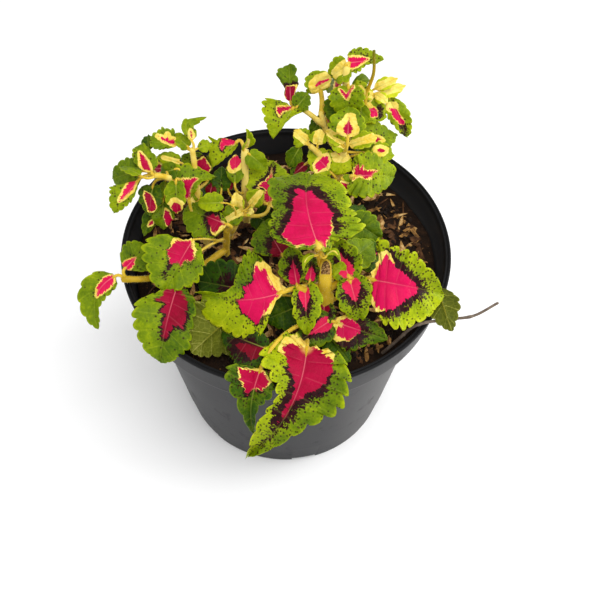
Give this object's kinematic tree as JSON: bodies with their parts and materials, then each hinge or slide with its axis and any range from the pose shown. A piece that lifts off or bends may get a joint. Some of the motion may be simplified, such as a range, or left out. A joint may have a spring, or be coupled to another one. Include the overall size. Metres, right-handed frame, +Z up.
{
  "type": "potted coleus",
  "caption": "Young coleus with pink, maroon and green leaves on upright leafy stems, growing in soil in a tapered grey plastic nursery pot that stands on its flat base.",
  "frame": {"origin": "middle of the pot's flat underside", "axes": "+Z up along the pot's axis; -Y towards the front, where the longest leaf hangs over the rim; +X to the right seen from the front"},
  "size_m": [0.1706, 0.1541, 0.1712],
  "materials": {
    "pot_plastic": "satin, moulded",
    "potting_soil": "rough, crumbly, moist",
    "coleus_leaf": "soft, slightly waxy, quilted between the veins",
    "dry_stem": "dry, fibrous"
  },
  "bodies": {
    "root": {"pot": "pot_plastic", "soil": "potting_soil", "leafy_stem_front": "coleus_leaf", "leafy_stem_low_left": "coleus_leaf", "leafy_stem_middle": "coleus_leaf", "leafy_stem_tall_left": "coleus_leaf", "leafy_stem_left": "coleus_leaf", "leafy_stem_back": "coleus_leaf", "leafy_stem_low_back": "coleus_leaf", "dry_stalk": "dry_stem"}
  },
  "joints": []
}
